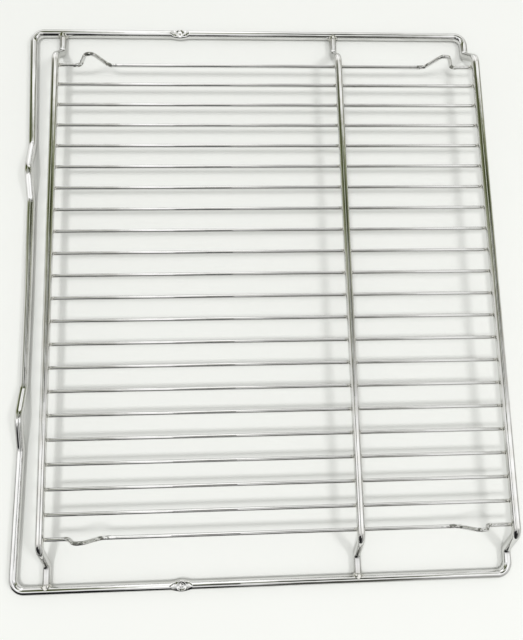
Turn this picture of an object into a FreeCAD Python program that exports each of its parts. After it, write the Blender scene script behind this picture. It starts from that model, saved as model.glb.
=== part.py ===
import FreeCAD
import Part
import math
import os
import Sketcher

# Oven shelf rack, welded from round steel wire and lying with its frame down, in millimetres.
#
# A closed frame of heavy wire lies flat. Along its right side it is cranked up into a raised bar.
# Two more bars cross the frame, cranked up in the same way, with their ends welded to its side wires.
# Thin grid wires hang under the three raised bars, and the first and the last of them carry the feet.
# X runs along the grid wires, Y along the bars and Z up. The origin is under the middle of the box.

SHEET = "sizes"
OUTLINE_STEPS = 16

DRIVING_SIZES = (
    ("frame_width", 466.0, "outer width of the frame, along Y"),
    ("frame_depth", 386.8, "outer depth of the frame, along X"),
    ("frame_wire_dia", 6.5, "wire of the closed frame"),
    ("bar_wire_dia", 6.0, "wire of the two crossbars"),
    ("grid_wire_dia", 3.0, "wire of the grid and its feet"),
    ("weld_set", 0.5, "how far a grid wire sinks into a bar at its weld"),
    ("corner_radius", 9.0, "bend of the frame's corners, at the wire's centre"),
    ("grid_rise", 14.5, "grid wires above the frame's wire, centre to centre"),
    ("low_run", 18.7, "from a side wire's centre in to the foot of a crank"),
    ("crank_run", 15.2, "how far a crank goes in while it climbs"),
    ("crank_low_radius", 7.0, "bend at the foot of a crank"),
    ("crank_high_radius", 10.0, "bend at the top of a crank"),
    ("crank_margin", 5.9, "from the top of a crank in to the first grid wire"),
    ("bar_inset", 25.1, "from the frame's left wire in to the left bar"),
    ("middle_bar_gap", 118.6, "from the raised right bar in to the middle bar"),
    ("wire_count", 22.0, "grid wires, the two with feet among them"),
    ("end_gap", 17.5, "from a wire with feet to its neighbour"),
    ("wire_overhang", 2.0, "grid wire past the centre of the bar at its end"),
    ("foot_inset", 30.2, "from the outer bar in to the apex of a foot, where its flanks would meet"),
    ("foot_outer_base", 10.6, "from that apex out to the steep flank's foot"),
    ("foot_inner_base", 13.2, "from that apex in to the easy flank's foot"),
    ("foot_apex", 19.45, "that apex above the foot's wire; the rounded crest is 5 mm lower"),
    ("foot_radius", 5.5, "bends of a foot"),
    ("kink_offset", 101.5, "middle of each kink from the middle of the left wire"),
    ("kink_length", 48.0, "length of a kink along the left wire"),
    ("kink_height", 7.1, "crest of a kink above its wire, centre to centre"),
    ("kink_radius", 18.0, "bends of a kink"),
    ("side_bow", 3.2, "how far the left wire bows in at its middle"),
    ("bow_radius", 400.0, "bend in the middle of the bowed left wire"),
    ("stop_offset", 126.4, "from the left wire to the pressed stop on each side wire"),
    ("stop_length", 17.0, "length of a pressed stop"),
    ("stop_width", 9.0, "width of a pressed stop across its ears"),
    ("stop_thickness", 4.1, "thickness that a pressed stop is squeezed to"),
    ("stop_squareness", 3.0, "how square a pressed stop's section is, where 2 is an oval"),
)

DERIVED_SIZES = (
    ("frame_r", "frame_wire_dia / 2"),
    ("bar_r", "bar_wire_dia / 2"),
    ("grid_r", "grid_wire_dia / 2"),
    ("side_y", "frame_width / 2 - frame_r"),
    ("end_x", "frame_depth / 2 - frame_r"),
    ("left_bar_x", "bar_inset - end_x"),
    ("middle_bar_x", "end_x - middle_bar_gap"),
    ("stop_x", "stop_offset - end_x"),
    ("stop_half", "stop_length / 2"),
    ("grid_z", "frame_r + grid_rise"),
    ("bar_z", "grid_z + grid_r + bar_r - weld_set"),
    ("right_bar_z", "grid_z + grid_r + frame_r - weld_set"),
    ("crank_low_y", "side_y - low_run"),
    ("crank_high_y", "crank_low_y - crank_run"),
    ("end_wire_y", "crank_high_y - crank_margin"),
    ("second_wire_y", "end_wire_y - end_gap"),
    ("grid_pitch", "2 * second_wire_y / (wire_count - 3)"),
    ("grid_mid_x", "(left_bar_x + end_x) / 2"),
    ("bar_half_span", "(end_x - left_bar_x) / 2"),
    ("grid_half", "bar_half_span + wire_overhang"),
    ("bed_half", "end_wire_y + grid_wire_dia"),
    ("foot_x", "bar_half_span - foot_inset"),
    ("foot_inner_x", "foot_x - foot_inner_base"),
    ("foot_outer_x", "foot_x + foot_outer_base"),
    ("foot_apex_z", "grid_z + foot_apex"),
)

AXIS_ALONG_X = FreeCAD.Rotation(FreeCAD.Vector(0, 1, 0), 90)
AXIS_ALONG_Y = FreeCAD.Rotation(FreeCAD.Vector(1, 0, 0), -90)
SECTION_ACROSS_X = FreeCAD.Rotation(FreeCAD.Vector(0, 1, 0), FreeCAD.Vector(0, 0, 1), FreeCAD.Vector(1, 0, 0))

doc = FreeCAD.newDocument("oven_shelf_rack")


# The sheet of sizes

def make_sheet():
    """Writes the driving sizes as plain numbers and the derived ones as formulas, each with an alias."""
    made = doc.addObject("Spreadsheet::Sheet", SHEET)
    row = 0
    for alias, value, meaning in DRIVING_SIZES:
        row += 1
        made.set(f"A{row}", alias)
        made.set(f"B{row}", str(value))
        made.set(f"C{row}", meaning)
        made.setAlias(f"B{row}", alias)
    for alias, formula in DERIVED_SIZES:
        row += 1
        made.set(f"A{row}", alias)
        made.set(f"B{row}", "=" + formula)
        made.setAlias(f"B{row}", alias)
    doc.recompute()
    return made


sheet = make_sheet()


def size(alias):
    """Gives the value of one named size."""
    return float(sheet.get(alias))


def bind(thing, **properties):
    """Ties properties of an object to formulas on the sheet: Placement.Base.x is written at_x."""
    places = {"at_x": "Placement.Base.x", "at_y": "Placement.Base.y", "at_z": "Placement.Base.z"}
    for name, formula in properties.items():
        thing.setExpression(places.get(name, name), formula)


def on_sheet(alias):
    """Names a size the way a formula of another object reads it."""
    return f"{SHEET}.{alias}"


# Bent wire

def apex_height(half_base, crest, radius):
    """Height at which the straight flanks of a bump meet, over a crest rounded to the given radius."""
    below = crest - radius
    flank = math.atan2(below, half_base) + math.asin(radius / math.hypot(half_base, below))
    return half_base * math.tan(flank)


def bend(before, corner, after, radius):
    """Gives the start, middle and end of the tangent arc that rounds a corner."""
    back = (before - corner).normalize()
    ahead = (after - corner).normalize()
    half_angle = back.getAngle(ahead) / 2
    reach = radius / math.tan(half_angle)
    inward = (back + ahead).normalize()
    middle = corner + inward * (radius / math.sin(half_angle) - radius)
    return corner + back * reach, middle, corner + ahead * reach


def bent_path(points, radii):
    """Joins straight runs between points with tangent arcs, one radius for each point in between."""
    edges = []
    here = points[0]
    for i, radius in enumerate(radii, start=1):
        start, middle, end = bend(points[i - 1], points[i], points[i + 1], radius)
        edges.append(Part.LineSegment(here, start).toShape())
        edges.append(Part.Arc(start, middle, end).toShape())
        here = end
    edges.append(Part.LineSegment(here, points[-1]).toShape())
    return Part.Wire(edges)


def origin_plane(body, role):
    """Finds one of a body's own origin planes."""
    return next(feature for feature in body.Origin.OriginFeatures if feature.Role == role)


def new_sketch(body, name, role):
    """Starts a sketch on one of the body's origin planes."""
    sketch = body.newObject("Sketcher::SketchObject", name)
    sketch.AttachmentSupport = [(origin_plane(body, role), "")]
    sketch.MapMode = "FlatFace"
    return sketch


def pin_point(sketch, geometry, end, across, height):
    """Holds a sketch point at a named distance from each axis, or on the upright axis if across is None."""
    if across is None:
        sketch.addConstraint(Sketcher.Constraint("PointOnObject", geometry, end, -2))
    else:
        index = sketch.addConstraint(Sketcher.Constraint("DistanceX", -1, 1, geometry, end, size(across)))
        sketch.setExpression(f"Constraints[{index}]", on_sheet(across))
    index = sketch.addConstraint(Sketcher.Constraint("DistanceY", -1, 1, geometry, end, size(height)))
    sketch.setExpression(f"Constraints[{index}]", on_sheet(height))


def sketch_path(sketch, corners, radii):
    """Draws straight runs through named corners, with a tangent arc at each bend, its radius named too.

    Each corner is a pair of size names. The first corner lies on the upright axis.
    """
    points = [FreeCAD.Vector(size(across) if across else 0.0, size(height), 0) for across, height in corners]
    runs = []
    arcs = []
    here = points[0]
    for i in range(1, len(points) - 1):
        start, middle, end = bend(points[i - 1], points[i], points[i + 1], size(radii[i - 1]))
        runs.append(sketch.addGeometry(Part.LineSegment(here, start), False))
        arcs.append(sketch.addGeometry(Part.Arc(start, middle, end), False))
        here = end
    runs.append(sketch.addGeometry(Part.LineSegment(here, points[-1]), False))

    pin_point(sketch, runs[0], 1, *corners[0])
    pin_point(sketch, runs[-1], 2, *corners[-1])
    for i, arc in enumerate(arcs):
        corner = sketch.addGeometry(Part.Point(points[i + 1]), True)
        pin_point(sketch, corner, 1, *corners[i + 1])
        sketch.addConstraint(Sketcher.Constraint("PointOnObject", corner, 1, runs[i]))
        sketch.addConstraint(Sketcher.Constraint("PointOnObject", corner, 1, runs[i + 1]))
        begins, ends = arc_ends(sketch, arc, points[i])
        sketch.addConstraint(Sketcher.Constraint("Tangent", runs[i], 2, arc, begins))
        sketch.addConstraint(Sketcher.Constraint("Tangent", arc, ends, runs[i + 1], 1))
        index = sketch.addConstraint(Sketcher.Constraint("Radius", arc, size(radii[i])))
        sketch.setExpression(f"Constraints[{index}]", on_sheet(radii[i]))
    return [f"Edge{number + 1}" for number in range(len(runs) + len(arcs))]


def arc_ends(sketch, arc, before):
    """Tells which end of a sketch arc comes first along the path, since arcs always run anticlockwise."""
    first = sketch.getPoint(arc, 1)
    last = sketch.getPoint(arc, 2)
    return (1, 2) if first.distanceToPoint(before) < last.distanceToPoint(before) else (2, 1)


def round_section(sketch, height, radius):
    """Draws the wire's round section on the upright axis, at a named height."""
    circle = Part.Circle(FreeCAD.Vector(0, size(height), 0), FreeCAD.Vector(0, 0, 1), size(radius))
    drawn = sketch.addGeometry(circle, False)
    pin_point(sketch, drawn, 3, None, height)
    index = sketch.addConstraint(Sketcher.Constraint("Radius", drawn, size(radius)))
    sketch.setExpression(f"Constraints[{index}]", on_sheet(radius))


def mirrored_wire(name, path_role, section_role, corners, bend_radii, wire_r):
    """Bends one half of a wire along a sketched path from its middle out, and mirrors it."""
    body = doc.addObject("PartDesign::Body", name)
    path = new_sketch(body, f"{name}_path", path_role)
    spine = sketch_path(path, corners, bend_radii)
    section = new_sketch(body, f"{name}_section", section_role)
    round_section(section, corners[0][1], wire_r)
    pipe = body.newObject("PartDesign::AdditivePipe", f"{name}_half")
    pipe.Profile = section
    pipe.Spine = (path, spine)
    doc.recompute()
    whole = body.newObject("PartDesign::Mirrored", f"{name}_whole")
    whole.Originals = [pipe]
    whole.MirrorPlane = (origin_plane(body, section_role), [""])
    body.Tip = whole
    return body


def seated(name, wire, seats):
    """Cuts a wire away where it is welded to others, so that it meets them face to face."""
    part = doc.addObject("Part::Cut", name)
    part.Base = wire
    part.Tool = seats
    return part


# The outer frame

def left_wire_point(across, lift):
    """A point of the left wire, which bows in towards the grid, at a place along Y and a height."""
    bow = size("side_bow") * (1 - (across / size("side_y")) ** 2)
    return FreeCAD.Vector(bow - size("end_x"), across, size("frame_r") + lift)


def left_half_path():
    """Runs from one pressed stop round the left wire, over its two kinks, to the other stop."""
    apex = apex_height(size("kink_length") / 2, size("kink_height"), size("kink_radius"))
    start_x = size("stop_x") - size("stop_half")
    points = [FreeCAD.Vector(start_x, size("side_y"), size("frame_r")), left_wire_point(size("side_y"), 0)]
    for middle in (size("kink_offset"), -size("kink_offset")):
        points.append(left_wire_point(middle + size("kink_length") / 2, 0))
        points.append(left_wire_point(middle, apex))
        points.append(left_wire_point(middle - size("kink_length") / 2, 0))
        if middle > 0:
            points.append(left_wire_point(0, 0))
    points.append(left_wire_point(-size("side_y"), 0))
    points.append(FreeCAD.Vector(start_x, -size("side_y"), size("frame_r")))
    kink = [size("kink_radius")] * 3
    corner = [size("corner_radius")]
    return bent_path(points, corner + kink + [size("bow_radius")] + kink + corner)


def right_half_path():
    """Runs from one pressed stop round the right side, up into the raised bar, to the other stop."""
    start_x = size("stop_x") + size("stop_half")
    low = size("frame_r")
    climb = (
        (start_x, size("side_y"), low),
        (size("end_x"), size("side_y"), low),
        (size("end_x"), size("crank_low_y"), low),
        (size("end_x"), size("crank_high_y"), size("right_bar_z")),
    )
    descent = [(x, -y, z) for x, y, z in reversed(climb)]
    points = [FreeCAD.Vector(*place) for place in climb + tuple(descent)]
    radii = [size(name) for name in ("corner_radius", "crank_low_radius", "crank_high_radius")]
    return bent_path(points, radii + radii[::-1])


def section_ring(name, x_formula, y_formula):
    """A round section of the frame's wire, square to the side wires."""
    ring = doc.addObject("Part::Circle", name)
    ring.Placement.Rotation = SECTION_ACROSS_X
    bind(ring, Radius=on_sheet("frame_r"), at_x=x_formula, at_y=y_formula, at_z=on_sheet("frame_r"))
    return ring


def frame_half(name, path_shape, start_x):
    """Sweeps the frame's wire along one half of the frame."""
    path = doc.addObject("Part::Feature", f"{name}_path")
    path.Shape = path_shape
    half = doc.addObject("Part::Sweep", name)
    half.Sections = [section_ring(f"{name}_section", start_x, on_sheet("side_y"))]
    half.Spine = (path, [f"Edge{number + 1}" for number in range(len(path_shape.Edges))])
    half.Solid = True
    half.Frenet = False
    return half


def squeezed_outline():
    """The section of a pressed stop: an oval with flattened faces and blunt edges."""
    power = 2 / size("stop_squareness")
    points = []
    for step in range(OUTLINE_STEPS):
        angle = 2 * math.pi * step / OUTLINE_STEPS
        across = math.copysign(abs(math.cos(angle)) ** power, math.cos(angle)) * size("stop_width") / 2
        height = math.copysign(abs(math.sin(angle)) ** power, math.sin(angle)) * size("stop_thickness") / 2
        points.append(FreeCAD.Vector(across, height, 0))
    outline = Part.BSplineCurve()
    outline.interpolate(points, PeriodicFlag=True)
    return outline.toShape()


def pressed_stop(name, y_formula):
    """The side wire squeezed flat over a short length, so that it spreads into two ears."""
    squeezed = doc.addObject("Part::Feature", f"{name}_middle")
    squeezed.Shape = squeezed_outline()
    squeezed.Placement.Rotation = SECTION_ACROSS_X
    bind(squeezed, at_x=on_sheet("stop_x"), at_y=y_formula, at_z=on_sheet("frame_r"))
    stop = doc.addObject("Part::Loft", name)
    stop.Sections = [
        section_ring(f"{name}_start", f"{on_sheet('stop_x')} - {on_sheet('stop_half')}", y_formula),
        squeezed,
        section_ring(f"{name}_end", f"{on_sheet('stop_x')} + {on_sheet('stop_half')}", y_formula),
    ]
    stop.Solid = True
    return stop


def outer_frame():
    """The closed frame: two bent halves with a pressed stop between them on each side wire."""
    left_start = f"{on_sheet('stop_x')} - {on_sheet('stop_half')}"
    right_start = f"{on_sheet('stop_x')} + {on_sheet('stop_half')}"
    frame = doc.addObject("Part::MultiFuse", "outer_frame")
    frame.Shapes = [
        frame_half("frame_left_half", left_half_path(), left_start),
        frame_half("frame_right_half", right_half_path(), right_start),
        pressed_stop("far_stop", on_sheet("side_y")),
        pressed_stop("near_stop", "-" + on_sheet("side_y")),
    ]
    return frame


# Rods that stand for the wires that others are welded to

def rod(name, rotation, radius, length):
    """A plain round rod with its sizes tied to the sheet."""
    made = doc.addObject("Part::Cylinder", name)
    made.Placement.Rotation = rotation
    bind(made, Radius=radius, Height=length)
    return made


def side_wire_seats():
    """The straight stretches of the side wires that the crossbars butt against."""
    seats = doc.addObject("Part::MultiFuse", "side_wire_seats")
    rods = []
    for name, y_formula in (("far_seat", on_sheet("side_y")), ("near_seat", "-" + on_sheet("side_y"))):
        seat = rod(name, AXIS_ALONG_X, on_sheet("frame_r"), "2 * " + on_sheet("end_x"))
        bind(seat, at_x="-" + on_sheet("end_x"), at_y=y_formula, at_z=on_sheet("frame_r"))
        rods.append(seat)
    seats.Shapes = rods
    return seats


def raised_bar_seats():
    """The straight raised stretches of the three bars that the grid wires are welded under."""
    seats = doc.addObject("Part::MultiFuse", "raised_bar_seats")
    bars = (
        ("left_seat", "left_bar_x", "bar_r", "bar_z"),
        ("middle_seat", "middle_bar_x", "bar_r", "bar_z"),
        ("right_seat", "end_x", "frame_r", "right_bar_z"),
    )
    rods = []
    for name, place, radius, height in bars:
        seat = rod(name, AXIS_ALONG_Y, on_sheet(radius), "2 * " + on_sheet("bed_half"))
        bind(seat, at_x=on_sheet(place), at_y="-" + on_sheet("bed_half"), at_z=on_sheet(height))
        rods.append(seat)
    seats.Shapes = rods
    return seats


# The crossbars and the grid

def crossbar(name, place, seats):
    """A bar that lies at the frame's level at its ends and is cranked up over the grid between them."""
    corners = (
        (None, "bar_z"),
        ("crank_high_y", "bar_z"),
        ("crank_low_y", "frame_r"),
        ("side_y", "frame_r"),
    )
    radii = ("crank_high_radius", "crank_low_radius")
    wire = mirrored_wire(f"{name}_wire", "YZ_Plane", "XZ_Plane", corners, radii, "bar_r")
    bind(wire, at_x=on_sheet(place))
    return seated(name, wire, seats)


def foot_wire(name, y_formula, seats):
    """An end wire of the grid, bent up into a foot near each end."""
    corners = (
        (None, "grid_z"),
        ("foot_inner_x", "grid_z"),
        ("foot_x", "foot_apex_z"),
        ("foot_outer_x", "grid_z"),
        ("grid_half", "grid_z"),
    )
    radii = ("foot_radius",) * 3
    wire = mirrored_wire(f"{name}_wire", "XZ_Plane", "YZ_Plane", corners, radii, "grid_r")
    bind(wire, at_x=on_sheet("grid_mid_x"), at_y=y_formula)
    return seated(name, wire, seats)


def grid_wire(number, seats):
    """A straight wire of the grid, counted from the far end wire."""
    wire = rod(f"grid_rod_{number:02d}", AXIS_ALONG_X, on_sheet("grid_r"), "2 * " + on_sheet("grid_half"))
    steps = number - 2
    bind(
        wire,
        at_x=f"{on_sheet('grid_mid_x')} - {on_sheet('grid_half')}",
        at_y=f"{on_sheet('second_wire_y')} - {steps} * {on_sheet('grid_pitch')}",
        at_z=on_sheet("grid_z"),
    )
    return seated(f"grid_wire_{number:02d}", wire, seats)


# The whole rack

def rack():
    """Makes every wire of the rack and gives them as a list."""
    side_seats = side_wire_seats()
    bar_seats = raised_bar_seats()
    parts = [outer_frame()]
    parts.append(crossbar("left_bar", "left_bar_x", side_seats))
    parts.append(crossbar("middle_bar", "middle_bar_x", side_seats))
    parts.append(foot_wire("far_foot_wire", on_sheet("end_wire_y"), bar_seats))
    for number in range(2, int(size("wire_count"))):
        parts.append(grid_wire(number, bar_seats))
    parts.append(foot_wire("near_foot_wire", "-" + on_sheet("end_wire_y"), bar_seats))
    return parts


def check(parts):
    """Stops if any object failed or any part is empty, broken or in more than one piece."""
    for thing in doc.Objects:
        if "Invalid" in thing.State or "Error" in thing.State:
            raise RuntimeError(f"{thing.Label} did not compute: {thing.State}")
    for part in parts:
        if part.Shape.isNull() or not part.Shape.isValid():
            raise RuntimeError(f"{part.Label} has no valid shape")
        if len(part.Shape.Solids) != 1:
            raise RuntimeError(f"{part.Label} is in {len(part.Shape.Solids)} pieces")


def write(parts):
    """Writes each part to a file named after it."""
    os.makedirs("parts", exist_ok=True)
    for part in parts:
        part.Shape.exportStep(f"parts/{part.Label}.step")
        print(f"{part.Label}: {part.Shape.Volume:.1f} mm3")


wires = rack()
doc.recompute()
check(wires)
write(wires)
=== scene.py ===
"""Oven shelf rack: its plated wires, their welds and the studio that they are shown in.

Everything is in metres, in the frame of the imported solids. X runs along the grid wires, Y along the
bars and Z up. Each solid is replaced by a finer swept wire of the same size in the same place, and
each weld gets the small fillet of metal that the press squeezes out of it.
"""

from __future__ import annotations

import logging
import math
import random
from dataclasses import dataclass, field
from enum import Enum
from typing import Any, Callable, Sequence, Union

import bmesh
import bpy
from mathutils import Euler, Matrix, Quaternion, Vector

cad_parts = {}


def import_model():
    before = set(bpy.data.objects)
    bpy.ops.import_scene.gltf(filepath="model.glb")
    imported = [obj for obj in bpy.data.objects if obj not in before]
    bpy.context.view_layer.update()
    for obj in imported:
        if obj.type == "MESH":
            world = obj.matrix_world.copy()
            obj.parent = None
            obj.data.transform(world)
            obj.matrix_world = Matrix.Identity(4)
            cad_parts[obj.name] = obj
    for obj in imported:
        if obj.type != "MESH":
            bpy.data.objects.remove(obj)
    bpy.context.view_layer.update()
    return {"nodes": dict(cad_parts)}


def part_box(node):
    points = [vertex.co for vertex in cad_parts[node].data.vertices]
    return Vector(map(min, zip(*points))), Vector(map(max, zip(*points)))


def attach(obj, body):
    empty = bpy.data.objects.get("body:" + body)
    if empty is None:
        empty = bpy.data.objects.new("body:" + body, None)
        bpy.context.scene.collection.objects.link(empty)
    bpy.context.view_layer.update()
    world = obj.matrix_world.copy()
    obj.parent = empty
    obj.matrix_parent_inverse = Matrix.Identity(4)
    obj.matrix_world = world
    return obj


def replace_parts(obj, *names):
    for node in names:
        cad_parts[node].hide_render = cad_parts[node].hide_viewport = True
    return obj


log = logging.getLogger("oven_shelf_rack")

BODY = "root"
PICTURE_WIDTH = 523
PICTURE_HEIGHT = 640
SENSOR_WIDTH = 36.0
UP = Vector((0.0, 0.0, 1.0))
PLACE_LAYER = "wire_place"
HEAT_LAYER = "weld_heat"
BEND_LAYER = "bend_marks"
FRAME_WIRE_RADIUS = 0.00325
END_WELD_SEED = 11
CROSSING_WELD_SEED = 21

Colour = tuple[float, float, float]


class End(Enum):
    """The two ends of the rack along Y, with the sign of their side."""

    FAR = 1
    NEAR = -1


class Seat(Enum):
    """Where a grid wire meets a bar: it passes under it, or stops just past it on one side."""

    PASSES = 0
    STOPS_LEFT = -1
    STOPS_RIGHT = 1


# Shader maths

class Signal:
    """A shader socket that arithmetic is written on; each operator adds one Math node."""

    def __init__(self, board: NodeBoard, socket: bpy.types.NodeSocket) -> None:
        """Keeps the socket and the board that its node stands on."""
        self.board = board
        self.socket = socket

    def _math(self, operation: str, first: Value, second: Value) -> Signal:
        """Adds one Math node on two values."""
        return self.board.add("ShaderNodeMath", {"operation": operation}, {0: first, 1: second})

    def __add__(self, other: Value) -> Signal:
        """This value plus another."""
        return self._math("ADD", self, other)

    def __radd__(self, other: Value) -> Signal:
        """A number plus this value."""
        return self._math("ADD", other, self)

    def __sub__(self, other: Value) -> Signal:
        """This value less another."""
        return self._math("SUBTRACT", self, other)

    def __rsub__(self, other: Value) -> Signal:
        """A number less this value."""
        return self._math("SUBTRACT", other, self)

    def __mul__(self, other: Value) -> Signal:
        """This value times another."""
        return self._math("MULTIPLY", self, other)

    def __rmul__(self, other: Value) -> Signal:
        """A number times this value."""
        return self._math("MULTIPLY", other, self)


Value = Union[Signal, float, Sequence[float]]


class NodeBoard:
    """One node tree, with a single way of adding nodes to it."""

    def __init__(self, tree: bpy.types.NodeTree) -> None:
        """Starts with an empty tree."""
        self.tree = tree
        tree.nodes.clear()

    def add(
        self,
        kind: str,
        settings: dict[str, Any] | None = None,
        sockets: dict[int | str, Value] | None = None,
        output: int | str = 0,
    ) -> Signal:
        """Adds one node.

        Args:
            kind: Blender's name for the node.
            settings: Properties that are set first; "stops" holds a colour ramp's stops.
            sockets: Values or links for its inputs, by name or number.
            output: The output that the result stands for.

        Returns:
            The chosen output, or the node's first input's place for a node without outputs.
        """
        node = self.tree.nodes.new(kind)
        for name, setting in (settings or {}).items():
            if name == "stops":
                self._set_stops(node.color_ramp, setting)
            else:
                setattr(node, name, setting)
        for name, value in (sockets or {}).items():
            if isinstance(value, Signal):
                self.tree.links.new(value.socket, node.inputs[name])
            else:
                node.inputs[name].default_value = value
        return Signal(self, node.outputs[output] if node.outputs else node.inputs[0])

    @staticmethod
    def _set_stops(ramp: bpy.types.ColorRamp, stops: Sequence[tuple[float, Colour]]) -> None:
        """Puts the given stops on a ramp that starts with two."""
        while len(ramp.elements) < len(stops):
            ramp.elements.new(1.0)
        for element, (position, colour) in zip(ramp.elements, stops):
            element.position = position
            element.color = (*colour, 1.0)

    def mix(self, share: Value, first: Value, second: Value) -> Signal:
        """Mixes two colours by a share from 0 to 1."""
        return self.add("ShaderNodeMix", {"data_type": "RGBA"}, {0: share, 6: first, 7: second}, 2)

    def scaled(self, vector: Signal, by: Sequence[float]) -> Signal:
        """Scales a vector by a number for each axis."""
        return self.add("ShaderNodeVectorMath", {"operation": "MULTIPLY"}, {0: vector, 1: by})

    def cells(self, place: Signal, length: float, width: float) -> Signal:
        """Divides a place into cells of a length along X and a width across it."""
        return self.scaled(place, (1 / length, 1 / width, 1 / width))

    def noise(self, vector: Signal, detail: float, roughness: float = 0.5) -> Signal:
        """Plain noise from 0 to 1, one unit of the vector to a cell."""
        sockets = {"Vector": vector, "Scale": 1.0, "Detail": detail, "Roughness": roughness}
        return self.add("ShaderNodeTexNoise", {}, sockets, "Fac")

    def eased(self, value: Value, low: float, high: float) -> Signal:
        """Goes smoothly from 0 at low to 1 at high."""
        sockets = {"Value": value, "From Min": low, "From Max": high}
        return self.add("ShaderNodeMapRange", {"interpolation_type": "SMOOTHSTEP"}, sockets)


# Finishes

@dataclass(frozen=True)
class PlatedFinish:
    """Bright plate over drawn steel wire.

    The plate follows the wire under it: long shallow ripples from the drawing die, fine lines along
    the wire, a few smoky patches, dents where it was bent with a painted dark reflection on them, and
    a grainy skin at the welds.
    """

    name: str
    bright: Colour = (0.74, 0.74, 0.73)
    smoky: Colour = (0.60, 0.60, 0.58)
    heated: Colour = (0.62, 0.61, 0.57)
    # Colour of the painted dark reflection on the blotches near bends.
    bend_dark_reflection: Colour = (0.23, 0.23, 0.21)
    edge_tint: Colour = (0.72, 0.72, 0.71)
    gloss: float = 0.03
    gloss_spread: float = 0.04
    heated_gloss: float = 0.05
    ripple_length: float = 0.011
    ripple_width: float = 0.0032
    ripple_depth: float = 0.000055
    line_length: float = 0.060
    line_width: float = 0.00045
    line_depth: float = 0.0000025
    grain_size: float = 0.0009
    grain_depth: float = 0.00002
    mark_length: float = 0.0032
    mark_width: float = 0.0022
    mark_depth: float = 0.00030
    patch_length: float = 0.030
    patch_width: float = 0.005
    patch_range: tuple[float, float] = (0.45, 0.75)
    # Where the painted dark reflection starts and where it is full.
    bend_dark_reflection_range: tuple[float, float] = (0.44, 0.56)
    browning: float = 0.8

    def material(self) -> bpy.types.Material:
        """Gives the finish's material, made once.

        Returns:
            The material that wears this finish.
        """
        known = bpy.data.materials.get(self.name)
        if known:
            return known
        made = bpy.data.materials.new(self.name)
        made.use_nodes = True
        board = NodeBoard(made.node_tree)
        place = board.add("ShaderNodeAttribute", {"attribute_name": PLACE_LAYER}, {}, "Vector")
        heat = board.add("ShaderNodeAttribute", {"attribute_name": HEAT_LAYER}, {}, "Fac")
        bent = board.add("ShaderNodeAttribute", {"attribute_name": BEND_LAYER}, {}, "Fac")
        patches = self._patches(board, place)
        # The blotches near tight bends dent the plate, and a dark reflection is also painted on them.
        bend_dents_and_dark_reflection = self._marks(board, place) * bent
        bend_dark_reflection = board.eased(bend_dents_and_dark_reflection, *self.bend_dark_reflection_range)
        shader = board.add(
            "ShaderNodeBsdfPrincipled",
            {},
            {
                "Base Color": self._colour(board, patches, heat, bend_dark_reflection),
                "Metallic": 1.0,
                "Specular Tint": (*self.edge_tint, 1.0),
                "Roughness": self.gloss + patches * self.gloss_spread + heat * self.heated_gloss,
                "Normal": self._relief(board, place, heat, bend_dents_and_dark_reflection),
            },
        )
        board.add("ShaderNodeOutputMaterial", {}, {"Surface": shader})
        return made

    def _patches(self, board: NodeBoard, place: Signal) -> Signal:
        """Smoky patches, a few wire widths long."""
        cells = board.cells(place, self.patch_length, self.patch_width)
        return board.eased(board.noise(cells, 3.0, 0.6), *self.patch_range)

    def _marks(self, board: NodeBoard, place: Signal) -> Signal:
        """The blotches near bends, about half a wire width across: a bending tool's dents, and where the
        dark reflection is painted.
        """
        return board.noise(board.cells(place, self.mark_length, self.mark_width), 1.0)

    def _colour(self, board: NodeBoard, patches: Signal, heat: Signal, bend_dents_and_dark_reflection: Signal) -> Signal:
        """The plate's colour, with a painted dark reflection on the blotches near bends.

        Args:
            board: The material's nodes.
            patches: Where the plate is smoky.
            heat: Nearness to a weld, which has browned the plate.
            bend_dents_and_dark_reflection: Where the dark reflection is painted near bends.

        Returns:
            The colour at each place.
        """
        plate = board.mix(patches, (*self.bright, 1.0), (*self.smoky, 1.0))
        browned = board.mix(heat * self.browning, plate, (*self.heated, 1.0))
        # Painted dark reflection over the blotches near bends.
        return board.mix(bend_dents_and_dark_reflection, browned, (*self.bend_dark_reflection, 1.0))

    def _relief(self, board: NodeBoard, place: Signal, heat: Signal, bend_dents_and_dark_reflection: Signal) -> Signal:
        """The bumps of the surface, as one normal.

        Args:
            board: The material's nodes.
            place: Distance along the wire and place on its section.
            heat: Nearness to a weld.
            bend_dents_and_dark_reflection: The dents that a bending tool has left, where the dark
                reflection is also painted.

        Returns:
            The tilted normal.
        """
        ripple_cells = board.cells(place, self.ripple_length, self.ripple_width)
        line_cells = board.cells(place, self.line_length, self.line_width)
        grain_cells = board.cells(place, self.grain_size, self.grain_size)
        ripple = board.noise(ripple_cells, 1.5) * self.ripple_depth
        lines = board.noise(line_cells, 1.0) * self.line_depth
        grain = board.noise(grain_cells, 2.0) * heat * self.grain_depth
        height = ripple + lines + grain + bend_dents_and_dark_reflection * self.mark_depth
        return board.add("ShaderNodeBump", {}, {"Strength": 1.0, "Distance": 1.0, "Height": height})


@dataclass(frozen=True)
class FloorFinish:
    """A plain pale table top with a faint mottle."""

    name: str = "pale_table"
    pale: Colour = (0.906, 0.915, 0.890)
    faint: Colour = (0.892, 0.901, 0.875)
    mottle_size: float = 0.05
    roughness: float = 0.75
    specular: float = 0.1

    def material(self) -> bpy.types.Material:
        """Makes the table's material."""
        made = bpy.data.materials.new(self.name)
        made.use_nodes = True
        board = NodeBoard(made.node_tree)
        spot = board.add("ShaderNodeTexCoord", {}, {}, "Object")
        mottle = board.noise(board.cells(spot, self.mottle_size, self.mottle_size), 3.0)
        colour = board.mix(mottle, (*self.pale, 1.0), (*self.faint, 1.0))
        sockets = {
            "Base Color": colour,
            "Roughness": self.roughness,
            "Specular IOR Level": self.specular,
        }
        shader = board.add("ShaderNodeBsdfPrincipled", {}, sockets)
        board.add("ShaderNodeOutputMaterial", {}, {"Surface": shader})
        return made


# Meshes from rows of points

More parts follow.
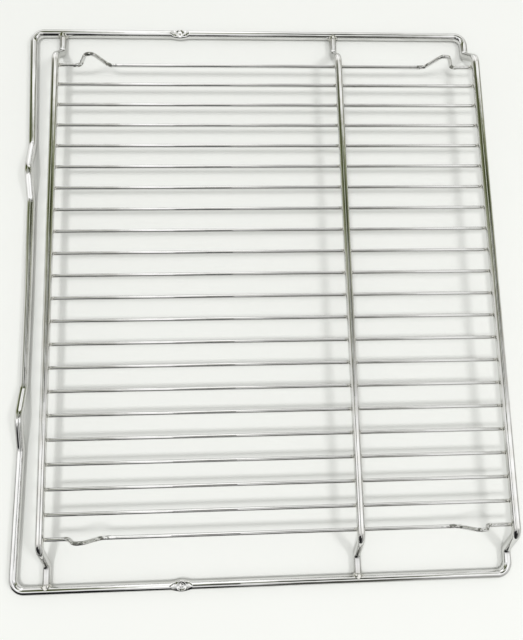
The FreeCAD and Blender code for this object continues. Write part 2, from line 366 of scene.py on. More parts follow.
@dataclass(frozen=True)
class Row:
    """One row of a mesh: its points, their places on the wire, and nearness to a weld and a bend."""

    points: list[Vector]
    places: list[Vector]
    heat: float
    bent: float = 0.0


@dataclass
class MeshDraft:
    """A mesh in the making, from closed rows of points."""

    points: list[Vector] = field(default_factory=list)
    places: list[Vector] = field(default_factory=list)
    heats: list[float] = field(default_factory=list)
    bents: list[float] = field(default_factory=list)
    faces: list[tuple[int, ...]] = field(default_factory=list)

    def add_rows(self, rows: list[Row], loop: bool) -> None:
        """Skins rows of equal length.

        Args:
            rows: The rows, each closed on itself.
            loop: Joins the last row to the first; without it both ends get a flat cap.
        """
        start = len(self.points)
        width = len(rows[0].points)
        for row in rows:
            self.points.extend(row.points)
            self.places.extend(row.places)
            self.heats.extend([row.heat] * width)
            self.bents.extend([row.bent] * width)
        steps = len(rows) if loop else len(rows) - 1
        for i in range(steps):
            here = start + i * width
            there = start + (i + 1) % len(rows) * width
            for j in range(width):
                k = (j + 1) % width
                self.faces.append((here + j, here + k, there + k, there + j))
        if not loop:
            last = start + (len(rows) - 1) * width
            self.faces.append(tuple(range(start + width - 1, start - 1, -1)))
            self.faces.append(tuple(range(last, last + width)))

    def piece(self, name: str, finish: PlatedFinish) -> bpy.types.Object:
        """Turns the draft into a smooth object that wears a finish and rides with the rack.

        Args:
            name: The piece's name.
            finish: What it is plated with.

        Returns:
            The new object.
        """
        mesh = bpy.data.meshes.new(name)
        mesh.from_pydata([tuple(point) for point in self.points], [], self.faces)
        places = mesh.attributes.new(PLACE_LAYER, "FLOAT_VECTOR", "POINT")
        places.data.foreach_set("vector", [value for place in self.places for value in place])
        for layer, values in ((HEAT_LAYER, self.heats), (BEND_LAYER, self.bents)):
            mesh.attributes.new(layer, "FLOAT", "POINT").data.foreach_set("value", values)
        shape = bmesh.new()
        shape.from_mesh(mesh)
        bmesh.ops.recalc_face_normals(shape, faces=shape.faces)
        shape.to_mesh(mesh)
        shape.free()
        mesh.polygons.foreach_set("use_smooth", [True] * len(mesh.polygons))
        mesh.materials.append(finish.material())
        made = bpy.data.objects.new(name, mesh)
        bpy.context.scene.collection.objects.link(made)
        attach(made, BODY)
        log.info("%s: %d faces", name, len(mesh.polygons))
        return made


# Bent wire

@dataclass(frozen=True)
class Bend:
    """A corner of a wire's centre line and the radius that it is bent to."""

    at: Vector
    radius: float = 0.0


@dataclass(frozen=True)
class Station:
    """A place on a wire's centre line: point, direction, run so far and nearness to a bend."""

    at: Vector
    along: Vector
    run: float
    bent: float


@dataclass
class WirePath:
    """A wire's centre line: straight runs joined by round bends."""

    bends: list[Bend]
    loop: bool = False
    straight_step: float = 0.004
    bend_step: float = math.radians(5.0)
    fine_step: float = 0.0006
    mark_radius: float = 0.0065
    mark_reach: float = 0.007
    mark_fall: float = 1.6
    fine_at: Callable[[Vector], bool] = lambda point: False

    def stations(self) -> list[Station]:
        """Walks the wire from end to end.

        Returns:
            Stations close enough for a smooth sweep, closest in the bends.
        """
        count = len(self.bends)
        inner = range(count) if self.loop else range(1, count - 1)
        here = self._arc(count - 1)[2] if self.loop else self.bends[0].at
        points: list[tuple[Vector, Vector]] = []
        for i in inner:
            start, centre, end = self._arc(i)
            points.extend(self._straight(here, start))
            points.extend(self._round(start, centre, end, i))
            here = end
        if not self.loop:
            last = self.bends[-1].at
            points.extend(self._straight(here, last))
            points.append((last, (last - here).normalized()))
        return self._measured(points)

    def _arc(self, i: int) -> tuple[Vector, Vector, Vector]:
        """Start, centre and end of the round bend at corner i."""
        corner = self.bends[i]
        back = (self.bends[i - 1].at - corner.at).normalized()
        ahead = (self.bends[(i + 1) % len(self.bends)].at - corner.at).normalized()
        half = back.angle(ahead) / 2
        reach = corner.radius / math.tan(half)
        centre = corner.at + (back + ahead).normalized() * corner.radius / math.sin(half)
        return corner.at + back * reach, centre, corner.at + ahead * reach

    def _straight(self, start: Vector, end: Vector) -> list[tuple[Vector, Vector]]:
        """Points of a straight run without its last one, closer where the wire needs it."""
        along = (end - start).normalized()
        length = (end - start).length
        found = []
        gone = 0.0
        while gone < length - self.fine_step / 2:
            point = start + along * gone
            found.append((point, along))
            step = self.fine_step if self.fine_at(point) else self.straight_step
            gone += min(step, max(length - gone, self.fine_step))
        return found

    def _round(
        self, start: Vector, centre: Vector, end: Vector, i: int
    ) -> list[tuple[Vector, Vector]]:
        """Points of the round bend at corner i, without its last one."""
        arm = start - centre
        turn = arm.rotation_difference(end - centre)
        axis, angle = turn.to_axis_angle()
        steps = max(2, math.ceil(angle / self.bend_step))
        along = (self.bends[i].at - start).normalized()
        found = []
        for k in range(steps):
            spin = Quaternion(axis, angle * k / steps)
            found.append((centre + spin @ arm, spin @ along))
        return found

    def _measured(self, points: list[tuple[Vector, Vector]]) -> list[Station]:
        """Adds the distance along the wire, and the nearness to a bend, to each point."""
        run = 0.0
        found = []
        before = points[0][0]
        for point, along in points:
            run += (point - before).length
            found.append(Station(point, along, run, self._bent(point)))
            before = point
        return found

    def _bent(self, point: Vector) -> float:
        """How much a bending tool has marked a point: 1 at a tight bend, gone a little way from it."""
        tight = [bend for bend in self.bends if 0.0 < bend.radius < self.mark_radius]
        reach = [(bend.at - point).length / (bend.radius + self.mark_reach) for bend in tight]
        return smooth_step(self.mark_fall * (1.0 - min(reach))) if reach else 0.0


Section = Callable[[Station, float], tuple[float, float]]


@dataclass(frozen=True)
class WeldHeat:
    """The skin that welding has dulled: strongest at a weld and gone a few millimetres away."""

    welds: tuple[Vector, ...]
    reach: float = 0.0075

    def at(self, point: Vector) -> float:
        """How much of the heat a point has, from 0 to 1."""
        nearest = min((weld - point).length for weld in self.welds)
        return smooth_step(1.0 - nearest / self.reach)


@dataclass
class Wire:
    """A length of wire: its centre line, its section and its welds."""

    path: WirePath
    section: Section
    heat: WeldHeat
    sides: int = 32

    def sweep(self, draft: MeshDraft) -> None:
        """Adds the swept wire to a draft."""
        draft.add_rows([self._row(station) for station in self.path.stations()], self.path.loop)

    def _row(self, station: Station) -> Row:
        """The ring of points round one station."""
        across = station.along.cross(UP).normalized()
        upward = across.cross(station.along)
        points = []
        places = []
        for k in range(self.sides):
            sideways, lift = self.section(station, math.tau * k / self.sides)
            points.append(station.at + across * sideways + upward * lift)
            places.append(Vector((station.run, sideways, lift)))
        return Row(points, places, self.heat.at(station.at), station.bent)


def round_section(radius: float) -> Section:
    """A plain round section.

    Args:
        radius: The wire's radius.

    Returns:
        The section's outline by angle.
    """
    return lambda station, angle: (radius * math.cos(angle), radius * math.sin(angle))


def smooth_step(share: float) -> float:
    """Goes smoothly from 0 to 1 as the share does, and stays level outside."""
    share = max(0.0, min(1.0, share))
    return share * share * (3.0 - 2.0 * share)


def crest_apex(half_base: float, crest: float, radius: float) -> float:
    """Height at which the straight flanks of a bump meet, over a crest rounded to a radius.

    Args:
        half_base: Half the width of the bump at its foot.
        crest: Height of its rounded crest.
        radius: Radius of the crest.

    Returns:
        The height of the sharp corner that the crest rounds off.
    """
    below = crest - radius
    flank = math.atan2(below, half_base) + math.asin(radius / math.hypot(half_base, below))
    return half_base * math.tan(flank)


def hollow_curve(top: Vector, knee: Vector, foot: Vector, strips: int) -> list[Vector]:
    """The hollow skin of a weld, from one wire to the other.

    Args:
        top: Where it leaves the first wire.
        knee: The corner that it bends towards.
        foot: Where it reaches the second wire.
        strips: How many strips it is made of.

    Returns:
        The points between the strips, with both ends.
    """
    shares = [step / strips for step in range(strips + 1)]
    return [top * (1 - t) ** 2 + knee * 2 * t * (1 - t) + foot * t**2 for t in shares]


# The rack

@dataclass(frozen=True)
class RackLayout:
    """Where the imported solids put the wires, and the sizes of the bends that their boxes don't give."""

    side_y: float
    end_x: float
    right_bar_z: float
    bar_x: dict[str, float]
    bar_z: float
    bar_r: float
    frame_r: float
    grid_r: float
    grid_z: float
    grid_start: float
    grid_end: float
    wire_y: dict[str, float]
    low_run: float = 0.0187
    crank_run: float = 0.0152
    crank_low_radius: float = 0.007
    crank_high_radius: float = 0.010
    stop_width: float = 0.0090

    @classmethod
    def from_frame(cls, nodes: Sequence[str]) -> RackLayout:
        """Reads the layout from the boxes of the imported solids.

        Args:
            nodes: The names of the solids.

        Returns:
            The layout, in metres.
        """
        frame_low, frame_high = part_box("outer_frame")
        bar_low, bar_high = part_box("left_bar")
        wire_low, wire_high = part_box("grid_wire_02")
        frame_r = FRAME_WIRE_RADIUS
        grid = [name for name in nodes if "wire" in name]
        bars = ["left_bar", "middle_bar"]
        middles = {name: sum(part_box(name), Vector()) / 2 for name in [*grid, *bars]}
        grid_r = (wire_high.y - wire_low.y) / 2
        bar_r = (bar_high.x - bar_low.x) / 2
        return cls(
            side_y=min(frame_high.y, -frame_low.y) - cls.stop_width / 2,
            end_x=frame_high.x - frame_r,
            right_bar_z=frame_high.z - frame_r,
            bar_x={name: middles[name].x for name in bars},
            bar_z=bar_high.z - bar_r,
            bar_r=bar_r,
            frame_r=frame_r,
            grid_r=grid_r,
            grid_z=wire_low.z + grid_r,
            grid_start=wire_low.x,
            grid_end=wire_high.x,
            wire_y={name: middles[name].y for name in grid},
        )

    @property
    def crank_low_y(self) -> float:
        """Where a crank starts to climb."""
        return self.side_y - self.low_run

    @property
    def crank_high_y(self) -> float:
        """Where a crank reaches the raised level."""
        return self.crank_low_y - self.crank_run

    def crossings(self, x: float) -> list[Vector]:
        """The points where every grid wire is welded under the bar at x."""
        height = self.grid_z + self.grid_r
        return [Vector((x, y, height)) for y in sorted(self.wire_y.values())]

    def bar_ends(self, x: float) -> list[Vector]:
        """The points where the bar at x is welded to the side wires."""
        return [Vector((x, end.value * (self.side_y - self.frame_r), self.frame_r)) for end in End]


@dataclass
class OuterFrame:
    """The closed frame of heavy wire, with its kinked left wire, raised right bar and pressed stops."""

    layout: RackLayout
    finish: PlatedFinish
    corner_radius: float = 0.009
    kink_offset: float = 0.1015
    kink_length: float = 0.048
    kink_height: float = 0.0071
    kink_radius: float = 0.018
    side_bow: float = 0.0032
    bow_radius: float = 0.400
    stop_offset: float = 0.1264
    stop_length: float = 0.017
    stop_thickness: float = 0.0041
    stop_squareness: float = 3.0
    stop_flat: float = 0.58
    stop_round: float = 0.96
    stop_margin: float = 1.3
    punch_radius: float = 0.0036
    punch_depth: float = 0.00055
    punch_rim: float = 0.00022
    punch_pip: float = 0.0004
    dish_flat: float = 0.62
    dish_slope: float = 0.34
    rim_place: float = 1.06
    rim_width: float = 0.16
    pip_width: float = 0.22
    sides: int = 64

    def build(self) -> bpy.types.Object:
        """Sweeps the frame's wire round its loop.

        Returns:
            The frame, which stands for its solid.
        """
        lay = self.layout
        welds = [*lay.crossings(lay.end_x)]
        for x in lay.bar_x.values():
            welds.extend(lay.bar_ends(x))
        bends = [*self._left_bends(), *self._right_bends()]
        path = WirePath(bends, loop=True, fine_at=self._near_stop)
        draft = MeshDraft()
        Wire(path, self._section, WeldHeat(tuple(welds)), self.sides).sweep(draft)
        made = draft.piece("frame_wire", self.finish)
        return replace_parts(made, "outer_frame")

    def _left_point(self, y: float, lift: float) -> Vector:
        """A point of the left wire, which bows in towards the grid."""
        bow = self.side_bow * (1 - (y / self.layout.side_y) ** 2)
        return Vector((bow - self.layout.end_x, y, self.layout.frame_r + lift))

    def _left_bends(self) -> list[Bend]:
        """The two left corners, the kinks and the bow between them, from far to near."""
        side_y = self.layout.side_y
        half = self.kink_length / 2
        apex = crest_apex(half, self.kink_height, self.kink_radius)
        bends = [Bend(self._left_point(side_y, 0.0), self.corner_radius)]
        for end in End:
            middle = end.value * self.kink_offset
            for shift, lift in ((half, 0.0), (0.0, apex), (-half, 0.0)):
                bends.append(Bend(self._left_point(middle + shift, lift), self.kink_radius))
            if end is End.FAR:
                bends.append(Bend(self._left_point(0.0, 0.0), self.bow_radius))
        bends.append(Bend(self._left_point(-side_y, 0.0), self.corner_radius))
        return bends

    def _right_bends(self) -> list[Bend]:
        """The two right corners and the cranks of the raised bar between them, from near to far."""
        lay = self.layout
        climb = (
            (-lay.side_y, lay.frame_r, self.corner_radius),
            (-lay.crank_low_y, lay.frame_r, lay.crank_low_radius),
            (-lay.crank_high_y, lay.right_bar_z, lay.crank_high_radius),
        )
        near = [Bend(Vector((lay.end_x, y, z)), radius) for y, z, radius in climb]
        far = [Bend(Vector((lay.end_x, -y, z)), radius) for y, z, radius in reversed(climb)]
        return near + far

    def _stop_distance(self, point: Vector) -> float:
        """Distance along X from the nearest pressed stop, as a share of its half length."""
        on_side = abs(abs(point.y) - self.layout.side_y) < self.layout.frame_r
        away = abs(point.x - (self.stop_offset - self.layout.end_x))
        return away / (self.stop_length / 2) if on_side else math.inf

    def _near_stop(self, point: Vector) -> bool:
        """Tells whether a point is on a pressed stop or just beside it."""
        return self._stop_distance(point) < self.stop_margin

    def _section(self, station: Station, angle: float) -> tuple[float, float]:
        """The wire's round section, squeezed flat and square with a punched top on the stops.

        Args:
            station: Where on the frame the section is.
            angle: The angle round the section.

        Returns:
            The outline's place across and above the wire's centre.
        """
        radius = self.layout.frame_r
        share = self._stop_distance(station.at)
        if share >= 1.0:
            return radius * math.cos(angle), radius * math.sin(angle)
        spread = math.cos(share * math.pi / 2) ** 2
        press = 1.0 - smooth_step((share - self.stop_flat) / (self.stop_round - self.stop_flat))
        half_width = radius + (self.layout.stop_width / 2 - radius) * spread
        half_height = radius + (self.stop_thickness / 2 - radius) * press
        power = 2.0 / (2.0 + (self.stop_squareness - 2.0) * press)
        sideways = half_width * math.copysign(abs(math.cos(angle)) ** power, math.cos(angle))
        lift = half_height * math.copysign(abs(math.sin(angle)) ** power, math.sin(angle))
        if lift > 0:
            away = math.hypot(sideways, share * self.stop_length / 2)
            lift += self._punch_mark(away) * min(1.0, lift / half_height)
        return sideways, lift

    def _punch_mark(self, away: float) -> float:
        """Height of the round punch mark on a stop at a distance from its middle: rim, dish and pip."""
        share = away / self.punch_radius
        dish = 1.0 - smooth_step((share - self.dish_flat) / self.dish_slope)
        rim = math.exp(-(((share - self.rim_place) / self.rim_width) ** 2))
        pip = math.exp(-((share / self.pip_width) ** 2))
        return self.punch_rim * rim - self.punch_depth * dish + self.punch_pip * pip


@dataclass
class CrossBar:
    """A bar that lies at the frame's level at its ends and is cranked up over the grid between them."""

    layout: RackLayout
    finish: PlatedFinish
    node: str
    end_gap: float = 0.0010
    sides: int = 36

    def build(self) -> bpy.types.Object:
        """Sweeps the bar from one side wire to the other.

        Returns:
            The bar, which stands for its solid.
        """
        lay = self.layout
        x = lay.bar_x[self.node]
        low = lay.frame_r
        half = (
            (lay.side_y - self.end_gap, low, 0.0),
            (lay.crank_low_y, low, lay.crank_low_radius),
            (lay.crank_high_y, lay.bar_z, lay.crank_high_radius),
        )
        bends = [Bend(Vector((x, y, z)), radius) for y, z, radius in half]
        bends += [Bend(Vector((x, -y, z)), radius) for y, z, radius in reversed(half)]
        heat = WeldHeat((*lay.crossings(x), *lay.bar_ends(x)))
        draft = MeshDraft()
        Wire(WirePath(bends), round_section(lay.bar_r), heat, self.sides).sweep(draft)
        made = draft.piece(f"{self.node}_wire", self.finish)
        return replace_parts(made, self.node)


@dataclass
class GridWire:
    """A thin wire of the grid, straight or with a foot near each end, cut square and deburred."""

    layout: RackLayout
    finish: PlatedFinish
    node: str
    end_round: float = 0.0004
    foot_inset: float = 0.0302
    foot_outer_base: float = 0.0106
    foot_inner_base: float = 0.0132
    foot_apex: float = 0.01945
    foot_radius: float = 0.0055
    cut_step: float = 0.0001
    cut_margin: float = 1.01
    sides: int = 20

    def build(self) -> bpy.types.Object:
        """Sweeps the wire between its two cut ends.

        Returns:
            The wire, which stands for its solid.
        """
        lay = self.layout
        y = lay.wire_y[self.node]
        bends = [Bend(Vector((lay.grid_start, y, lay.grid_z)))]
        if "foot" in self.node:
            bends += self._feet(y)
        bends.append(Bend(Vector((lay.grid_end, y, lay.grid_z))))
        bars = (*lay.bar_x.values(), lay.end_x)
        heat = WeldHeat(tuple(Vector((x, y, lay.grid_z + lay.grid_r)) for x in bars))
        path = WirePath(bends, fine_step=self.cut_step, fine_at=self._near_cut)
        draft = MeshDraft()
        Wire(path, self._section, heat, self.sides).sweep(draft)
        made = draft.piece(self.node.replace("_wire", "_thin_wire"), self.finish)
        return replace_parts(made, self.node)

    def _feet(self, y: float) -> list[Bend]:
        """The bends of the two feet, from left to right."""
        lay = self.layout
        bends = []
        for side, bar in ((1, lay.bar_x["left_bar"]), (-1, lay.end_x)):
            middle = bar + side * self.foot_inset
            places = (
                (middle - side * self.foot_outer_base, 0.0),
                (middle, self.foot_apex),
                (middle + side * self.foot_inner_base, 0.0),
            )
            for x, rise in places[::side]:
                bends.append(Bend(Vector((x, y, lay.grid_z + rise)), self.foot_radius))
        return bends

    def _from_cut(self, point: Vector) -> float:
        """Distance from the nearer cut end."""
        return min(point.x - self.layout.grid_start, self.layout.grid_end - point.x)

    def _near_cut(self, point: Vector) -> bool:
        """Tells whether a point is where the cut edge is rounded."""
        return self._from_cut(point) < self.end_round * self.cut_margin

    def _section(self, station: Station, angle: float) -> tuple[float, float]:
        """The round section, drawn in a little at the deburred ends."""
        short = max(0.0, 1.0 - self._from_cut(station.at) / self.end_round)
        radius = self.layout.grid_r - self.end_round * (1.0 - math.sqrt(1.0 - min(short, 1.0) ** 2))
        return radius * math.cos(angle), radius * math.sin(angle)


# Welds

@dataclass
class CrossingWelds:
    """The saddles of squeezed-out metal where the grid wires are welded under one bar."""

    layout: RackLayout
    finish: PlatedFinish
    name: str
    x: float
    bar_r: float
    bar_z: float
    seat: Seat
    seed: int
    grip: float = 0.91
    along_wire: float = 0.0016
    along_bar: float = 0.0027
    cut_grip: float = 0.50
    cut_reach: float = 0.60
    knee_along_wire: float = 1.06
    knee_along_bar: float = 1.04
    depth_in_wire: float = 0.6
    depth_in_bar: float = 0.15
    inner_share: float = 0.5
    grain_shift: float = 10.0
    unevenness: float = 0.22
    columns: int = 28
    strips: int = 5

    def build(self) -> bpy.types.Object:
        """Makes one saddle at each crossing under the bar.

        Returns:
            All the bar's saddles as one piece.
        """
        draws = random.Random(self.seed)
        draft = MeshDraft()
        for number, crossing in enumerate(self.layout.crossings(self.x)):
            reach = [1.0 + self.unevenness * draws.uniform(-1.0, 1.0) for _ in range(3)]
            draft.add_rows(self._saddle(crossing.y, reach, number), loop=True)
        return draft.piece(self.name, self.finish)

    def _saddle(self, y: float, reach: list[float], number: int) -> list[Row]:
        """One saddle: rows from the bar's skin over a hollow fillet to the wire's skin and back inside.

        Args:
            y: Where the wire crosses.
            reach: How far this weld has spread, to the left, to the right and along the bar.
            number: The weld's number, which sets its grain apart from the others'.

        Returns:
            Rows that close into a ring.
        """
        rows: list[list[Vector]] = [[] for _ in range(self.strips + 2)]
        for k in range(self.columns):
            column = self._column(math.tau * k / self.columns, reach)
            for row, offset in zip(rows, column):
                row.append(Vector((self.x, y, 0.0)) + offset)
        shift = Vector((number * self.layout.grid_r * self.grain_shift, 0.0, 0.0))
        return [Row(points, [point + shift for point in points], 1.0) for points in rows]

    def _column(self, angle: float, reach: list[float]) -> list[Vector]:
        """The points of a saddle in one direction from the crossing."""
        grid_r = self.layout.grid_r
        east, north = math.cos(angle), math.sin(angle)
        side = 1 if east > 0 else -1
        if side == self.seat.value:
            on_bar = self.bar_r * self.cut_grip
            on_wire = self.bar_r * self.cut_reach
        else:
            on_bar = self.bar_r * self.grip
            on_wire = self.bar_r + self.along_wire * reach[0 if side < 0 else 1]
        bar_drop = math.sqrt(self.bar_r**2 - (on_bar * east) ** 2)
        top = Vector((on_bar * east, self.along_bar * reach[2] * north, self.bar_z - bar_drop))
        foot = Vector((on_wire * east, grid_r * north, self.layout.grid_z + grid_r * abs(east)))
        level = self.layout.grid_z + grid_r
        bar_under = self.bar_z - self.bar_r
        knee_z = level * east**2 + bar_under * north**2
        knee_x = on_bar * self.knee_along_wire * east
        knee = Vector((knee_x, grid_r * self.knee_along_bar * north, knee_z))
        in_wire = self.layout.grid_z + self.depth_in_wire * grid_r
        in_bar = bar_under + self.depth_in_bar * grid_r
        inside_z = in_wire * east**2 + in_bar * north**2
        inner = self.inner_share
        inside = Vector((inner * on_bar * east, inner * grid_r * north, inside_z))
        return [*hollow_curve(top, knee, foot, self.strips), inside]


@dataclass
class BarEndWelds:
    """The fillets where the ends of one crossbar are butted and welded on the side wires."""

    layout: RackLayout
    finish: PlatedFinish
    node: str
    seed: int
    on_bar: float = 0.0017
    on_side: float = 0.0018
    climb: float = 0.985
    knee_out: float = 1.05
    knee_rise: float = 1.03
    inner_share: float = 0.5
    unevenness: float = 0.18
    columns: int = 40
    strips: int = 6

    def build(self) -> bpy.types.Object:
        """Makes a fillet round each end of the bar.

        Returns:
            Both fillets as one piece.
        """
        draws = random.Random(self.seed)
        draft = MeshDraft()
        for end in End:
            spread = [1.0 + self.unevenness * draws.uniform(-1.0, 1.0) for _ in range(2)]
            draft.add_rows(self._fillet(end, spread), loop=True)
        return draft.piece(f"{self.node}_end_welds", self.finish)

    def _fillet(self, end: End, spread: list[float]) -> list[Row]:
        """One fillet: rows from the bar's skin over a hollow to the side wire's skin and back inside.

        Args:
            end: The end of the rack that the fillet is at.
            spread: How far the metal has run along the side wire, to the left and to the right.

        Returns:
            Rows that close into a ring.
        """
        lay = self.layout
        side = Vector((lay.bar_x[self.node], end.value * lay.side_y, lay.frame_r))
        rows: list[list[Vector]] = [[] for _ in range(self.strips + 2)]
        for k in range(self.columns):
            for row, offset in zip(rows, self._column(math.tau * k / self.columns, spread)):
                row.append(side + Vector((offset.x, end.value * offset.y, offset.z)))
        return [Row(points, list(points), 1.0) for points in rows]

    def _column(self, angle: float, spread: list[float]) -> list[Vector]:
        """The points of a fillet at one angle round the bar; Y is negative towards the grid."""
        lay = self.layout
        east, rise = math.cos(angle), math.sin(angle)
        reach = self.on_side * spread[0 if east < 0 else 1]
        top = Vector((lay.bar_r * east, -lay.frame_r - self.on_bar, lay.bar_r * rise))
        foot_z = self.climb * lay.frame_r * rise
        foot_y = -math.sqrt(lay.frame_r**2 - foot_z**2)
        foot = Vector(((lay.bar_r + reach) * east, foot_y, foot_z))
        knee_y = -math.sqrt(lay.frame_r**2 - (lay.bar_r * rise) ** 2)
        knee_x = lay.bar_r * self.knee_out * east
        knee = Vector((knee_x, knee_y, lay.bar_r * self.knee_rise * rise))
        inner = self.inner_share
        inside = Vector((inner * lay.bar_r * east, -inner * lay.frame_r, inner * lay.bar_r * rise))
        return [*hollow_curve(top, knee, foot, self.strips), inside]


# The studio

@dataclass(frozen=True)
class PaintedCard:
    """A soft-edged card of painted reflection, over a span to the right and one to the far side."""

    colour: Colour
    right: tuple[float, float]
    far: tuple[float, float]
    softness: float = 0.05

    def cover(self, board: NodeBoard, room: Signal, right: Signal, far: Signal) -> Signal:
        """Lays the card over the room.

        Args:
            board: The world's nodes.
            room: The room's colour so far.
            right: How far to the right each direction points.
            far: How far to the far side it points.

        Returns:
            The room's colour with the card in it.
        """
        share = self._between(board, right, self.right) * self._between(board, far, self.far)
        return board.mix(share, room, (*self.colour, 1.0))

    def _between(self, board: NodeBoard, value: Signal, span: tuple[float, float]) -> Signal:
        """Goes softly from 0 to 1 and back over a span."""
        low, high = span
        rise = board.eased(value, low - self.softness, low + self.softness)
        fall = board.eased(value, high - self.softness, high + self.softness)
        return rise * (1.0 - fall)


@dataclass(frozen=True)
class PaintedReflectionRoom:
    """Painted reflection that only glossy rays see: a bright band overhead, a dim olive band beyond it,
    and dark and bright painted cards.

    Directions are parts of a unit vector: far is along Y and right along X.
    """

    # Painted reflection by direction to the far side; values over 1 are painted highlights.
    stops: tuple[tuple[float, Colour], ...] = (
        (-1.00, (0.48, 0.48, 0.47)),
        (-0.75, (0.46, 0.46, 0.45)),
        (-0.50, (0.72, 0.72, 0.71)),
        (-0.34, (0.74, 0.74, 0.73)),
        (-0.23, (1.36, 1.36, 1.36)),
        (-0.07, (1.36, 1.36, 1.36)),
        (0.03, (0.74, 0.74, 0.73)),
        (0.13, (0.50, 0.50, 0.46)),
        (0.25, (0.46, 0.475, 0.38)),
        (0.35, (0.31, 0.335, 0.21)),
        (0.45, (0.31, 0.335, 0.21)),
        (0.55, (0.32, 0.32, 0.28)),
        (0.68, (1.00, 1.00, 0.98)),
        (0.85, (1.20, 1.20, 1.19)),
        (1.00, (0.85, 0.85, 0.84)),
    )
    # Painted dark and bright patches of reflection.
    painted_cards: tuple[PaintedCard, ...] = (
        PaintedCard((0.28, 0.28, 0.27), (-1.20, -0.90), (-0.50, -0.05)),
        PaintedCard((0.35, 0.35, 0.34), (0.90, 1.20), (-0.50, -0.02)),
        PaintedCard((0.95, 0.95, 0.93), (-1.20, -0.84), (-0.05, 0.23), 0.08),
        PaintedCard((0.086, 0.100, 0.042), (-0.80, -0.20), (0.32, 0.55)),
        PaintedCard((0.105, 0.123, 0.050), (-0.50, -0.24), (-0.05, 0.55)),
        PaintedCard((1.25, 1.25, 1.24), (0.10, 0.73), (0.47, 0.59)),
        PaintedCard((1.50, 1.50, 1.50), (-0.22, 0.07), (0.50, 1.20)),
        PaintedCard((0.043, 0.052, 0.019), (0.32, 0.77), (0.11, 0.41)),
        PaintedCard((1.45, 1.45, 1.45), (-0.17, -0.08), (-0.11, 0.44), 0.035),
        PaintedCard((0.028, 0.035, 0.014), (0.06, 0.30), (0.01, 0.47)),
        PaintedCard((1.45, 1.45, 1.45), (0.34, 0.43), (-0.09, 0.30), 0.035),
        PaintedCard((0.025, 0.025, 0.027), (-0.90, -0.19), (-1.20, -0.47)),
        PaintedCard((0.95, 0.95, 0.95), (-0.15, 0.07), (-0.66, -0.12)),
        PaintedCard((0.14, 0.14, 0.12), (0.08, 0.32), (-1.20, -0.40)),
        PaintedCard((0.020, 0.020, 0.021), (-0.62, 0.03), (-1.20, -0.72)),
        PaintedCard((0.08, 0.08, 0.075), (0.03, 0.27), (-1.20, -0.70)),
        PaintedCard((0.40, 0.40, 0.39), (0.27, 0.70), (-1.20, -0.85)),
    )

    def colour(self, board: NodeBoard) -> Signal:
        """Adds the nodes of the painted reflection.

        Args:
            board: The world's nodes.

        Returns:
            The colour seen in each direction.
        """
        view = board.add("ShaderNodeTexCoord", {}, {}, "Generated")
        right, far = (board.add("ShaderNodeSeparateXYZ", {}, {0: view}, name) for name in "XY")
        stops = [(0.5 + 0.5 * position, colour) for position, colour in self.stops]
        room = board.add("ShaderNodeValToRGB", {"stops": stops}, {0: far * 0.5 + 0.5})
        for card in self.painted_cards:
            room = card.cover(board, room, right, far)
        return room


@dataclass(frozen=True)
class Lamp:
    """A soft lamp that hangs level over the table and isn't mirrored in the plate."""

    name: str
    place: tuple[float, float, float]
    width: float
    length: float
    power: float

    def build(self) -> None:
        """Hangs the lamp, its length from near to far."""
        light = bpy.data.lights.new(self.name, "AREA")
        light.shape = "RECTANGLE"
        light.size = self.width
        light.size_y = self.length
        light.energy = self.power
        made = bpy.data.objects.new(self.name, light)
        made.location = self.place
        made.visible_glossy = False
        bpy.context.scene.collection.objects.link(made)


